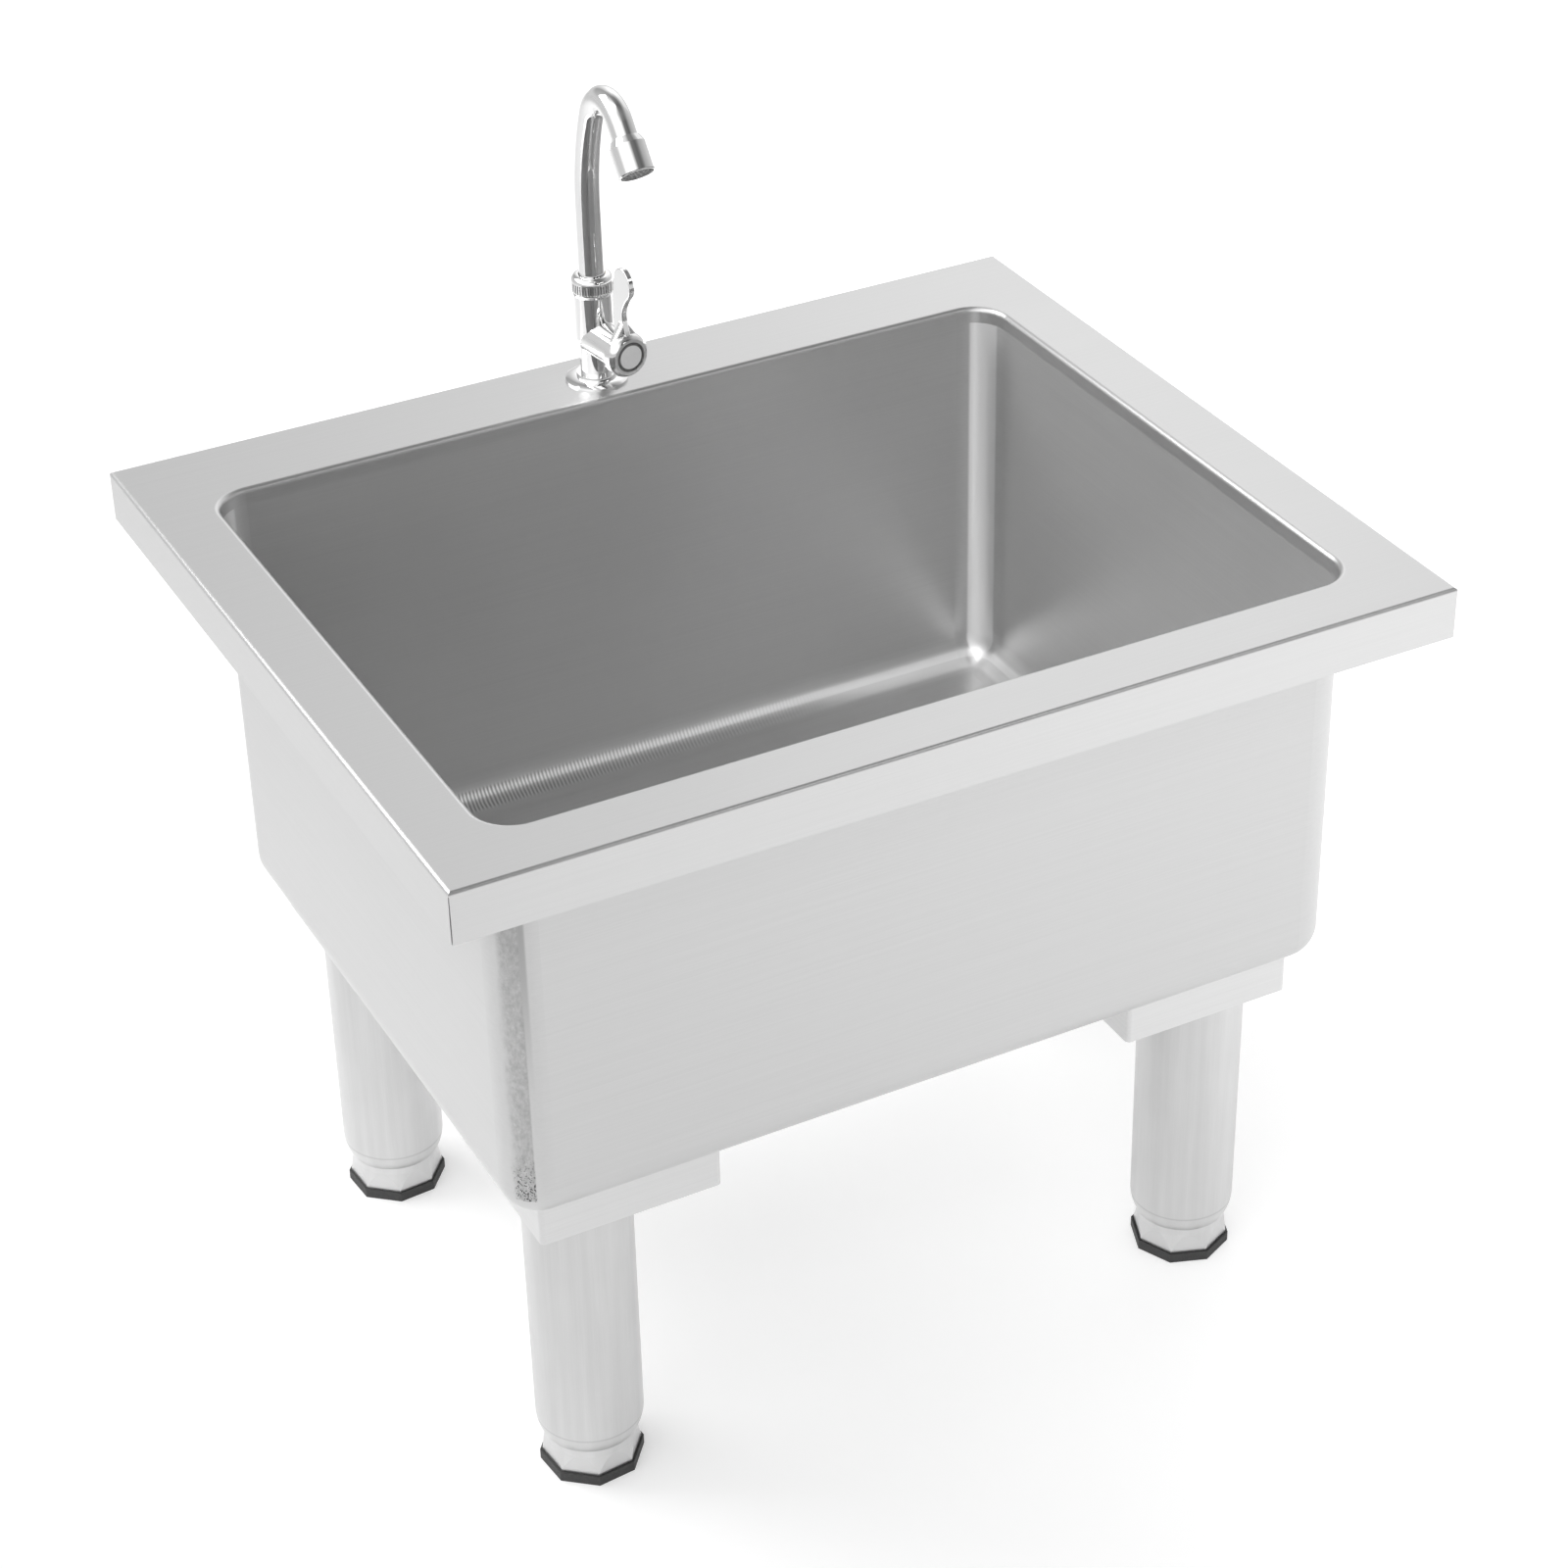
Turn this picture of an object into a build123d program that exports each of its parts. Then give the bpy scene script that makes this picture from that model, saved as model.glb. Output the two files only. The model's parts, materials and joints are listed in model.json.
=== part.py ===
"""Free-standing stainless steel utility sink with a single swan-neck tap.

Millimetres. +X runs along the long side, +Y to the back (the tap's side), +Z up.
The origin is on the floor, under the middle of the rim.
"""

import os
from math import cos, radians, sin

from build123d import *

os.makedirs("parts", exist_ok=True)

# ------------------------------------------------------------------ driving dimensions
# Rim and bowl
rim_length = 600.0
rim_width = 500.0
rim_height = 485.0
side_deck = 40.0
front_deck = 40.0
rear_deck = 60.0
sheet = 1.2
rim_bend_radius = 2.2
skirt_height = 31.0
skirt_return = 12.0
seam_gap = 0.6
lip_radius = 3.2
lip_depth = 10.0
bowl_depth = 258.5
bowl_corner_radius = 22.0
bowl_cove_radius = 20.0

# Legs and their brackets
bracket_side_inset = 19.0
bracket_front_inset = 16.5
bracket_rear_inset = 10.0
bracket_size = 110.0
bracket_depth = 26.5
bracket_sheet = 2.0
bracket_corner_radius = 3.0
leg_edge_x = 39.0
leg_edge_y = 40.5
leg_radius = 31.5
leg_wall = 1.5
leg_roll_radius = 27.1
leg_roll_lip = 0.8
leg_roll_height = 13.5
leg_end_height = 24.5
socket_length = 40.0
socket_wall = 3.0
leg_fit = 0.1
leg_nut_height = 62.0
leg_nut_thickness = 16.0

# Screws that hold the legs on their sockets
leg_screw_radius = 3.0
leg_screw_drop = 36.0
leg_screw_head_radius = 5.2
leg_screw_head_height = 3.0
leg_screw_hex = 4.0
screw_hole_fit = 0.2

# Feet
pad_octagon_radius = 30.6
pad_height = 6.5
pad_recess = 2.0
pad_bore_radius = 12.0
foot_octagon_radius = 29.1
foot_flare_radius = 29.7
foot_neck_radius = 26.8
foot_flare_height = 14.5
foot_neck_length = 34.0
foot_wall = 1.5
foot_floor = 3.0
foot_stem_radius = 8.0
foot_stem_reserve = 30.0
foot_fit = 0.1
thread_fit = 0.05
foot_turn = {"front_left": 28.0, "front_right": 2.0, "rear_left": 27.0, "rear_right": 14.0}

# Drain
drain_seat_radius = 59.0
drain_seat_depth = 3.0
drain_hole_radius = 45.0
strainer_flange_radius = 57.5
strainer_wall = 1.5
strainer_cup_radius = 42.0
strainer_cup_depth = 40.0
strainer_outlet_radius = 23.5
strainer_outlet_bore = 19.0
strainer_outlet_length = 22.0
strainer_throat_radius = 17.0
drain_gasket_thickness = 3.0
drain_gasket_radius = 56.0
drain_nut_thickness = 8.0
drain_nut_radius = 52.0
drain_nut_lug = 5.0
drain_nut_lug_count = 6
drain_fit = 0.3
basket_rim_radius = 44.0
basket_radius = 34.0
basket_depth = 26.0
basket_flare = 4.0
basket_wall = 1.0
basket_fit = 0.5
basket_hole_radius = 1.9
basket_rings = {11.0: 6, 19.0: 12, 27.0: 16}
basket_side_holes = 16
basket_hole_sides = 8
basket_side_hole_drop = 14.0
basket_knob_radius = 6.0
basket_knob_height = 8.0
basket_knob_rise = 22.0
basket_stem_radius = 3.0
basket_stem_head_radius = 5.0
basket_stem_head = 2.0
stopper_radius = 21.0
stopper_thickness = 4.0
stopper_boss_radius = 7.0
stopper_fit = 0.1
tail_radius = 20.0
tail_wall = 1.5
tail_neck_radius = 19.6
tail_neck_length = 5.0
tail_length = 48.0
tail_flange_radius = 23.0
tail_flange_thickness = 1.5
tail_washer_thickness = 2.0
tail_nut_radius = 28.0
tail_nut_height = 18.0
tail_nut_lip = 2.0
tail_nut_ribs = 12
tail_nut_rib_radius = 1.6

# Tap: where it stands, and the heights above the deck
tap_x = 1.0
tap_setback = 32.0
tap_hole_radius = 11.0
flange_radius = 19.2
flange_edge = 1.4
flange_height = 3.2
flange_seat_radius = 12.4
flange_gasket_thickness = 1.2
flange_gasket_radius = 16.6
shank_radius = 10.48
shank_length = 48.0
shank_groove_radius = 9.9
shank_groove_drop = 13.7
shank_groove_width = 2.0
stem_radius = 9.6
collar_height = 2.0
shoulder_height = 25.0
body_radius = 11.8
body_height = 58.0
body_edge = 0.8
neck_radius = 10.8
neck_height = 66.0
waterway_radius = 5.5
rubber_washer_thickness = 2.0
steel_washer_thickness = 1.5
deck_washer_radius = 15.5
lock_nut_across_flats = 27.0
lock_nut_height = 8.0

# Spout
spout_radius = 8.0
spout_wall = 1.0
spout_foot = 40.0
spout_rise = 112.6
spout_sweep_radius = 167.0
spout_sweep_angle = 23.0
spout_crook_radius = 23.0
spout_tilt = 39.5
spout_tail = 14.6
spout_fit = 0.3
spout_collar_radius = 9.2
spout_collar_base = 62.0
spout_seal_thickness = 1.0
spout_end_gap = 0.5
swivel_gap = 0.1
spout_nut_radius = 12.8
spout_nut_base = 59.5
spout_knurl_height = 6.7
spout_nut_dome = 3.8
spout_nut_lip = 0.6
knurl_count = 48
knurl_depth = 0.45
knurl_margin = 0.5

# Aerator on the end of the spout
aerator_radius = 11.1
aerator_shoulder_radius = 8.9
aerator_shoulder = 4.5
aerator_length = 22.0
aerator_seat = 6.0
aerator_bore = 9.9
aerator_step = 1.0
aerator_waterway = 7.0
aerator_edge = 0.6
aerator_washer_thickness = 2.0
aerator_insert_length = 12.0
aerator_recess = 0.8
aerator_fit = 0.1
aerator_hole_radius = 0.9
aerator_hole_depth = 2.0
aerator_rings = {2.9: 6, 5.6: 12, 8.2: 18}

# Quarter-turn valve and its lever
valve_turn = 8.0
valve_height = 29.0
barrel_radius = 11.6
barrel_length = 29.5
chamber_radius = 7.0
chamber_depth = 34.5
cartridge_fit = 0.05
cartridge_collar_radius = 8.4
cartridge_collar_length = 1.0
cartridge_port_radius = 3.6
spindle_radius = 4.0
spindle_root_radius = 5.0
spindle_root_length = 12.0
spindle_port_radius = 3.0
spindle_fit = 0.05
spindle_splines = 20
spindle_spline_depth = 0.35
spindle_spline_length = 4.0
hub_gap = 0.5
hub_clearance = 0.3
hub_back_radius = 12.8
hub_radius = 14.0
hub_front_radius = 11.4
hub_face = 39.5
hub_flare = 1.2
hub_round = 5.0
hub_web = 1.4
cap_radius = 8.3
cap_recess = 1.5
cap_fit = 0.1
cap_edge = 0.3
handle_screw_radius = 2.0
handle_screw_head_radius = 3.4
handle_screw_head = 1.6
handle_screw_length = 9.0
handle_screw_hex = 2.5
lever_thickness = 3.8
lever_round = 0.9
lever_root_step = 0.3
lever_root_radius = 3.0
lever_root_height = 19.0
lever_root_length = 4.2
lever_root_round = 2.0

# The lever's outline, out from the hub's face and up from the valve's axis: a line, then arcs
lever_outline = [
    (-15.0, 12.6),
    (-14.8, 33.0),
    (-12.2, 50.6),
    (-6.3, 56.4),
    (0.5, 54.7),
    (4.7, 47.2),
    (2.6, 39.8),
    (-3.3, 31.5),
    (-4.5, 22.0),
    (-1.8, 13.5),
]

# ------------------------------------------------------------------ levels and places
deck_under = rim_height - sheet
skirt_bottom = rim_height - skirt_height
opening_length = rim_length - 2 * side_deck
opening_width = rim_width - front_deck - rear_deck
bowl_y = (front_deck - rear_deck) / 2
bowl_outer_length = opening_length + 2 * sheet
bowl_outer_width = opening_width + 2 * sheet
bowl_under = rim_height - bowl_depth
bowl_floor = bowl_under + sheet
lip_bottom = rim_height - lip_depth
tap_y = rim_width / 2 - tap_setback

bracket_under = bowl_under - bracket_depth
bracket_plate = bowl_under - bracket_sheet
bracket_x = bowl_outer_length / 2 - bracket_side_inset - bracket_size / 2
bracket_front = bowl_y - bowl_outer_width / 2 + bracket_front_inset + bracket_size / 2
bracket_rear = bowl_y + bowl_outer_width / 2 - bracket_rear_inset - bracket_size / 2
leg_x = bracket_x + bracket_size / 2 - leg_edge_x
leg_front = bracket_front - bracket_size / 2 + leg_edge_y
leg_rear = bracket_rear + bracket_size / 2 - leg_edge_y
leg_bore = leg_radius - leg_wall
foot_bottom = pad_height - pad_recess

# corner name: side along X, side along Y, bracket centre and leg centre along Y
corners = {
    "front_left": (-1, -1, bracket_front, leg_front),
    "front_right": (1, -1, bracket_front, leg_front),
    "rear_left": (-1, 1, bracket_rear, leg_rear),
    "rear_right": (1, 1, bracket_rear, leg_rear),
}


def at_level(edges, level):
    """The edges that lie at one height."""
    return edges.filter_by_position(Axis.Z, level - 0.01, level + 0.01)


def round_opening(edges, reach):
    """The edges that run round the opening, within reach of its outline."""
    return edges.filter_by(
        lambda edge: abs(edge.center().X) < opening_length / 2 + reach
        and abs(edge.center().Y - bowl_y) < opening_width / 2 + reach
    )


# ------------------------------------------------------------------ rim deck
with BuildPart() as rim_deck:
    with BuildSketch(Plane.XY.offset(skirt_bottom)):
        Rectangle(rim_length, rim_width)
    extrude(amount=skirt_height)
    fillet(rim_deck.faces().sort_by(Axis.Z)[-1].edges(), radius=rim_bend_radius)
    offset(amount=-sheet, openings=rim_deck.faces().sort_by(Axis.Z)[0])
    # the skirt's lower edge is folded inwards
    with BuildSketch(Plane.XY.offset(skirt_bottom)):
        Rectangle(rim_length, rim_width)
        Rectangle(rim_length - 2 * skirt_return, rim_width - 2 * skirt_return, mode=Mode.SUBTRACT)
    extrude(amount=sheet)
    # the opening, and the lip that turns down into the bowl
    with BuildSketch(Plane.XY.offset(lip_bottom)):
        with Locations((0, bowl_y)):
            RectangleRounded(bowl_outer_length, bowl_outer_width, bowl_corner_radius + sheet)
    extrude(amount=lip_depth - sheet / 2)
    with BuildSketch(Plane.XY.offset(lip_bottom)):
        with Locations((0, bowl_y)):
            RectangleRounded(opening_length, opening_width, bowl_corner_radius)
    extrude(amount=lip_depth, mode=Mode.SUBTRACT)
    fillet(round_opening(at_level(rim_deck.edges(), rim_height), sheet / 2), radius=lip_radius)
    fillet(round_opening(at_level(rim_deck.edges(), deck_under), 2 * sheet), radius=lip_radius - sheet)
    # the skirts meet at open mitred seams
    with BuildSketch(Plane.XY.offset(skirt_bottom)):
        for side_x in (-1, 1):
            for side_y in (-1, 1):
                corner_point = (side_x * rim_length / 2, side_y * rim_width / 2)
                with Locations(Location(corner_point, 45 * side_x * side_y)):
                    Rectangle(4 * skirt_return, seam_gap)
    extrude(amount=skirt_height - rim_bend_radius, mode=Mode.SUBTRACT)
    with BuildSketch(Plane.XY.offset(deck_under)):
        with Locations((tap_x, tap_y)):
            Circle(tap_hole_radius)
    extrude(amount=sheet, mode=Mode.SUBTRACT)
rim_deck.part.label = "rim_deck"
export_step(rim_deck.part, "parts/rim_deck.step")

# ------------------------------------------------------------------ bowl
with BuildPart() as bowl:
    with BuildSketch(Plane.XY.offset(bowl_under)):
        with Locations((0, bowl_y)):
            RectangleRounded(bowl_outer_length, bowl_outer_width, bowl_corner_radius + sheet)
    extrude(amount=lip_bottom - bowl_under)
    fillet(bowl.faces().sort_by(Axis.Z)[0].edges(), radius=bowl_cove_radius + sheet)
    offset(amount=-sheet, openings=bowl.faces().sort_by(Axis.Z)[-1])
    # the pressed seat of the drain, and its hole
    with BuildSketch(Plane.XY.offset(bowl_under - drain_seat_depth)):
        with Locations((0, bowl_y)):
            Circle(drain_seat_radius + sheet)
    extrude(amount=drain_seat_depth)
    with BuildSketch(Plane.XY.offset(bowl_floor - drain_seat_depth)):
        with Locations((0, bowl_y)):
            Circle(drain_seat_radius)
    extrude(amount=drain_seat_depth, mode=Mode.SUBTRACT)
    with BuildSketch(Plane.XY.offset(bowl_under - drain_seat_depth)):
        with Locations((0, bowl_y)):
            Circle(drain_hole_radius)
    extrude(amount=sheet, mode=Mode.SUBTRACT)
bowl.part.label = "bowl"
export_step(bowl.part, "parts/bowl.step")

# ------------------------------------------------------------------ legs
screw_level = bracket_plate - leg_screw_drop
screw_seat = leg_radius + leg_fit
screw_tip = leg_bore - leg_fit - socket_wall
roll_top = leg_end_height + leg_roll_height
roll_lip_radius = leg_roll_radius + leg_roll_lip
neck_start = foot_bottom + foot_flare_height
neck_top = neck_start + foot_neck_length
cup_bore = foot_neck_radius - foot_wall
stem_top = leg_nut_height + leg_nut_thickness + foot_stem_reserve

for corner, (side_x, side_y, bracket_y, leg_y) in corners.items():
    leg_axis = Axis((side_x * leg_x, leg_y, 0), (0, 0, 1))
    leg_side = Plane(origin=(side_x * leg_x, leg_y, 0), x_dir=(1, 0, 0), z_dir=(0, -1, 0))
    inward = Vector(-side_x, -side_y, 0).normalized()
    screw_plane = Plane(origin=(side_x * leg_x, leg_y, screw_level), x_dir=(0, 0, 1), z_dir=inward)

    # folded tray with its plate against the bowl's underside and its flanges down
    with BuildPart() as leg_bracket:
        with BuildSketch(Plane.XY.offset(bracket_under)):
            with Locations((side_x * bracket_x, bracket_y)):
                RectangleRounded(bracket_size, bracket_size, bracket_corner_radius)
        extrude(amount=bracket_depth)
        offset(amount=-bracket_sheet, openings=leg_bracket.faces().sort_by(Axis.Z)[0])
    leg_bracket.part.label = f"leg_bracket_{corner}"
    export_step(leg_bracket.part, f"parts/leg_bracket_{corner}.step")

    # ring welded under the plate, over which the leg is pushed
    with BuildPart() as leg_socket:
        with BuildSketch(Plane.XY.offset(bracket_plate - socket_length)):
            with Locations((side_x * leg_x, leg_y)):
                Circle(leg_bore - leg_fit)
                Circle(leg_bore - leg_fit - socket_wall, mode=Mode.SUBTRACT)
        extrude(amount=socket_length)
        with BuildSketch(screw_plane):
            Circle(leg_screw_radius + thread_fit)
        extrude(amount=leg_radius, mode=Mode.SUBTRACT)
    leg_socket.part.label = f"leg_socket_{corner}"
    export_step(leg_socket.part, f"parts/leg_socket_{corner}.step")

    # tube with its lower end rolled in round the foot's neck
    with BuildPart() as leg_tube:
        with BuildSketch(leg_side):
            with BuildLine():
                Polyline(
                    (leg_radius, roll_top),
                    (leg_radius, bracket_plate),
                    (leg_bore, bracket_plate),
                    (leg_bore, roll_top),
                )
                TangentArc((leg_bore, roll_top), (leg_roll_radius, leg_end_height), tangent=(0, -1))
                Line((leg_roll_radius, leg_end_height), (roll_lip_radius, leg_end_height))
                TangentArc((leg_radius, roll_top), (roll_lip_radius, leg_end_height), tangent=(0, -1))
            make_face()
        revolve(axis=leg_axis)
        with BuildSketch(screw_plane):
            Circle(leg_screw_radius + screw_hole_fit)
        extrude(amount=leg_radius + screw_hole_fit, mode=Mode.SUBTRACT)
    leg_tube.part.label = f"leg_tube_{corner}"
    export_step(leg_tube.part, f"parts/leg_tube_{corner}.step")

    # threaded plate inside the tube, for the foot's stem
    with BuildPart() as leg_nut:
        with BuildSketch(Plane.XY.offset(leg_nut_height)):
            with Locations((side_x * leg_x, leg_y)):
                Circle(leg_bore - leg_fit / 2)
                Circle(foot_stem_radius + thread_fit, mode=Mode.SUBTRACT)
        extrude(amount=leg_nut_thickness)
    leg_nut.part.label = f"leg_nut_{corner}"
    export_step(leg_nut.part, f"parts/leg_nut_{corner}.step")

    # steel foot: a cup whose flared base is cut to an octagon, on a threaded stem
    with BuildPart() as foot:
        with BuildSketch(leg_side):
            with BuildLine():
                Polyline(
                    (0, foot_bottom),
                    (foot_flare_radius, foot_bottom),
                    (foot_neck_radius, neck_start),
                    (foot_neck_radius, neck_top),
                    (cup_bore, neck_top),
                    (cup_bore, foot_bottom + foot_floor),
                    (foot_stem_radius, foot_bottom + foot_floor),
                    (foot_stem_radius, stem_top),
                    (0, stem_top),
                    close=True,
                )
            make_face()
        revolve(axis=leg_axis)
        with BuildSketch(Plane.XY.offset(foot_bottom)):
            with Locations((side_x * leg_x, leg_y)):
                RegularPolygon(foot_octagon_radius, 8, rotation=foot_turn[corner])
        extrude(amount=stem_top, mode=Mode.INTERSECT)
    foot.part.label = f"foot_{corner}"
    export_step(foot.part, f"parts/foot_{corner}.step")

    # rubber pad with a recess that grips the foot's base
    with BuildPart() as foot_pad:
        with BuildSketch(Plane.XY):
            with Locations((side_x * leg_x, leg_y)):
                RegularPolygon(pad_octagon_radius, 8, rotation=foot_turn[corner])
        extrude(amount=pad_height)
        with BuildSketch(Plane.XY.offset(foot_bottom)):
            with Locations((side_x * leg_x, leg_y)):
                RegularPolygon(foot_octagon_radius + foot_fit, 8, rotation=foot_turn[corner])
        extrude(amount=pad_recess, mode=Mode.SUBTRACT)
        with BuildSketch(Plane.XY):
            with Locations((side_x * leg_x, leg_y)):
                Circle(pad_bore_radius)
        extrude(amount=foot_bottom, mode=Mode.SUBTRACT)
    foot_pad.part.label = f"foot_pad_{corner}"
    export_step(foot_pad.part, f"parts/foot_pad_{corner}.step")

# the four screws that hold the legs on their sockets, on the sides that face the middle
with BuildPart() as leg_screws:
    for side_x, side_y, bracket_y, leg_y in corners.values():
        screw_line = Plane(
            origin=(side_x * leg_x, leg_y, screw_level),
            x_dir=(0, 0, 1),
            z_dir=Vector(-side_x, -side_y, 0).normalized(),
        )
        with BuildSketch(screw_line.offset(screw_tip)):
            Circle(leg_screw_radius)
        extrude(amount=screw_seat - screw_tip)
        with BuildSketch(screw_line.offset(screw_seat)):
            Circle(leg_screw_head_radius)
        extrude(amount=leg_screw_head_height)
        with BuildSketch(screw_line.offset(screw_seat + leg_screw_head_height / 2)):
            RegularPolygon(leg_screw_hex / 2, 6, major_radius=False)
        extrude(amount=leg_screw_head_height / 2, mode=Mode.SUBTRACT)
leg_screws.part.label = "leg_screws"
export_step(leg_screws.part, "parts/leg_screws.step")

# ------------------------------------------------------------------ drain
drain_side = Plane(origin=(0, bowl_y, 0), x_dir=(1, 0, 0), z_dir=(0, -1, 0))
drain_axis = Axis((0, bowl_y, 0), (0, 0, 1))
seat_level = bowl_floor - drain_seat_depth
seat_under = bowl_under - drain_seat_depth
flange_top = seat_level + strainer_wall
cup_bottom = seat_level - strainer_cup_depth
outlet_bottom = cup_bottom - strainer_outlet_length

with BuildPart() as strainer_body:
    with BuildSketch(drain_side):
        with BuildLine():
            Polyline(
                (strainer_flange_radius, seat_level),
                (strainer_flange_radius, flange_top),
                (strainer_cup_radius - strainer_wall, flange_top),
                (strainer_cup_radius - strainer_wall, cup_bottom + strainer_wall),
                (strainer_throat_radius, cup_bottom + strainer_wall),
                (strainer_throat_radius, cup_bottom),
                (strainer_outlet_bore, cup_bottom),
                (strainer_outlet_bore, outlet_bottom),
                (strainer_outlet_radius, outlet_bottom),
                (strainer_outlet_radius, cup_bottom - strainer_wall),
                (strainer_cup_radius, cup_bottom - strainer_wall),
                (strainer_cup_radius, seat_level),
                close=True,
            )
        make_face()
    revolve(axis=drain_axis)
strainer_body.part.label = "strainer_body"
export_step(strainer_body.part, "parts/strainer_body.step")

with BuildPart() as drain_gasket:
    with BuildSketch(Plane.XY.offset(seat_under - drain_gasket_thickness)):
        with Locations((0, bowl_y)):
            Circle(drain_gasket_radius)
            Circle(strainer_cup_radius + drain_fit, mode=Mode.SUBTRACT)
    extrude(amount=drain_gasket_thickness)
drain_gasket.part.label = "drain_gasket"
export_step(drain_gasket.part, "parts/drain_gasket.step")

with BuildPart() as drain_lock_nut:
    with BuildSketch(Plane.XY.offset(seat_under - drain_gasket_thickness - drain_nut_thickness)):
        with Locations((0, bowl_y)):
            Circle(drain_nut_radius)
            with PolarLocations(drain_nut_radius, drain_nut_lug_count):
                Rectangle(2 * drain_nut_lug, 2 * drain_nut_lug)
            Circle(strainer_cup_radius + thread_fit, mode=Mode.SUBTRACT)
    extrude(amount=drain_nut_thickness)
drain_lock_nut.part.label = "drain_lock_nut"
export_step(drain_lock_nut.part, "parts/drain_lock_nut.step")

# removable basket: a perforated cup that hangs by its rim on the flange
basket_floor = flange_top - basket_depth
basket_mouth = strainer_cup_radius - strainer_wall - basket_fit
with BuildPart() as strainer_basket:
    with BuildSketch(drain_side):
        with BuildLine():
            Polyline(
                (basket_stem_radius + stopper_fit, basket_floor),
                (basket_radius, basket_floor),
                (basket_radius, flange_top - basket_flare),
                (basket_mouth, flange_top),
                (basket_rim_radius, flange_top),
                (basket_rim_radius, flange_top + basket_wall),
                (basket_mouth - basket_wall / 2, flange_top + basket_wall),
                (basket_radius - basket_wall, flange_top - basket_flare + basket_wall / 2),
                (basket_radius - basket_wall, basket_floor + basket_wall),
                (basket_stem_radius + stopper_fit, basket_floor + basket_wall),
                close=True,
            )
        make_face()
    revolve(axis=drain_axis)
    with BuildSketch(Plane.XY.offset(basket_floor)):
        with Locations((0, bowl_y)):
            for ring_radius, hole_count in basket_rings.items():
                with PolarLocations(ring_radius, hole_count):
                    RegularPolygon(basket_hole_radius, basket_hole_sides)
    extrude(amount=basket_wall, mode=Mode.SUBTRACT)
    for hole in range(basket_side_holes // 2):
        angle = radians(180 * hole / (basket_side_holes // 2))
        hole_centre = (0, bowl_y, flange_top - basket_side_hole_drop)
        with BuildSketch(Plane(origin=hole_centre, x_dir=(0, 0, 1), z_dir=(cos(angle), sin(angle), 0))):
            RegularPolygon(basket_hole_radius, basket_hole_sides)
        extrude(amount=basket_rim_radius, both=True, mode=Mode.SUBTRACT)
strainer_basket.part.label = "strainer_basket"
export_step(strainer_basket.part, "parts/strainer_basket.step")

# rubber plug under the basket: it closes the throat while the basket is down
stopper_bottom = cup_bottom + strainer_wall
with BuildPart() as basket_stopper:
    with BuildSketch(drain_side):
        with BuildLine():
            Polyline(
                (basket_stem_radius + stopper_fit, stopper_bottom),
                (stopper_radius, stopper_bottom),
                (stopper_radius, stopper_bottom + stopper_thickness),
                (stopper_boss_radius, stopper_bottom + stopper_thickness),
                (stopper_boss_radius, basket_floor),
                (basket_stem_radius + stopper_fit, basket_floor),
                close=True,
            )
        make_face()
    revolve(axis=drain_axis)
basket_stopper.part.label = "basket_stopper"
export_step(basket_stopper.part, "parts/basket_stopper.step")

# knob and stem that hold the plug to the basket and lift both out
knob_seat = basket_floor + basket_wall
knob_top = basket_floor + basket_knob_rise
with BuildPart() as basket_knob:
    with BuildSketch(drain_side):
        with BuildLine():
            Polyline(
                (0, stopper_bottom - basket_stem_head),
                (basket_stem_head_radius, stopper_bottom - basket_stem_head),
                (basket_stem_head_radius, stopper_bottom),
                (basket_stem_radius, stopper_bottom),
                (basket_stem_radius, knob_seat),
                (basket_stem_head_radius, knob_seat),
                (basket_stem_head_radius, knob_seat + basket_stem_head),
                (basket_stem_radius, knob_seat + 2 * basket_stem_head),
                (basket_stem_radius, knob_top - basket_knob_height),
                (basket_knob_radius, knob_top - basket_knob_height / 2),
                (basket_knob_radius, knob_top - basket_knob_height / 4),
                (basket_knob_radius - basket_knob_height / 4, knob_top),
                (0, knob_top),
                close=True,
            )
        make_face()
    revolve(axis=drain_axis)
basket_knob.part.label = "basket_knob"
export_step(basket_knob.part, "parts/basket_knob.step")

# tailpiece under the outlet, with the washer that seals it and the nut that holds it
with BuildPart() as tail_washer:
    with BuildSketch(Plane.XY.offset(outlet_bottom - tail_washer_thickness)):
        with Locations((0, bowl_y)):
            Circle(tail_flange_radius)
            Circle(strainer_outlet_bore, mode=Mode.SUBTRACT)
    extrude(amount=tail_washer_thickness)
tail_washer.part.label = "tail_washer"
export_step(tail_washer.part, "parts/tail_washer.step")

tail_top = outlet_bottom - tail_washer_thickness
tail_flange_under = tail_top - tail_flange_thickness
with BuildPart() as tailpiece:
    with BuildSketch(Plane.XY.offset(tail_top - tail_length)):
        with Locations((0, bowl_y)):
            Circle(tail_radius)
    extrude(amount=tail_length - tail_flange_thickness - tail_neck_length)
    with BuildSketch(Plane.XY.offset(tail_flange_under - tail_neck_length)):
        with Locations((0, bowl_y)):
            Circle(tail_neck_radius)
    extrude(amount=tail_neck_length)
    with BuildSketch(Plane.XY.offset(tail_flange_under)):
        with Locations((0, bowl_y)):
            Circle(tail_flange_radius)
    extrude(amount=tail_flange_thickness)
    with BuildSketch(Plane.XY.offset(tail_top - tail_length)):
        with Locations((0, bowl_y)):
            Circle(tail_radius - tail_wall)
    extrude(amount=tail_length, mode=Mode.SUBTRACT)
tailpiece.part.label = "tailpiece"
export_step(tailpiece.part, "parts/tailpiece.step")

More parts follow.
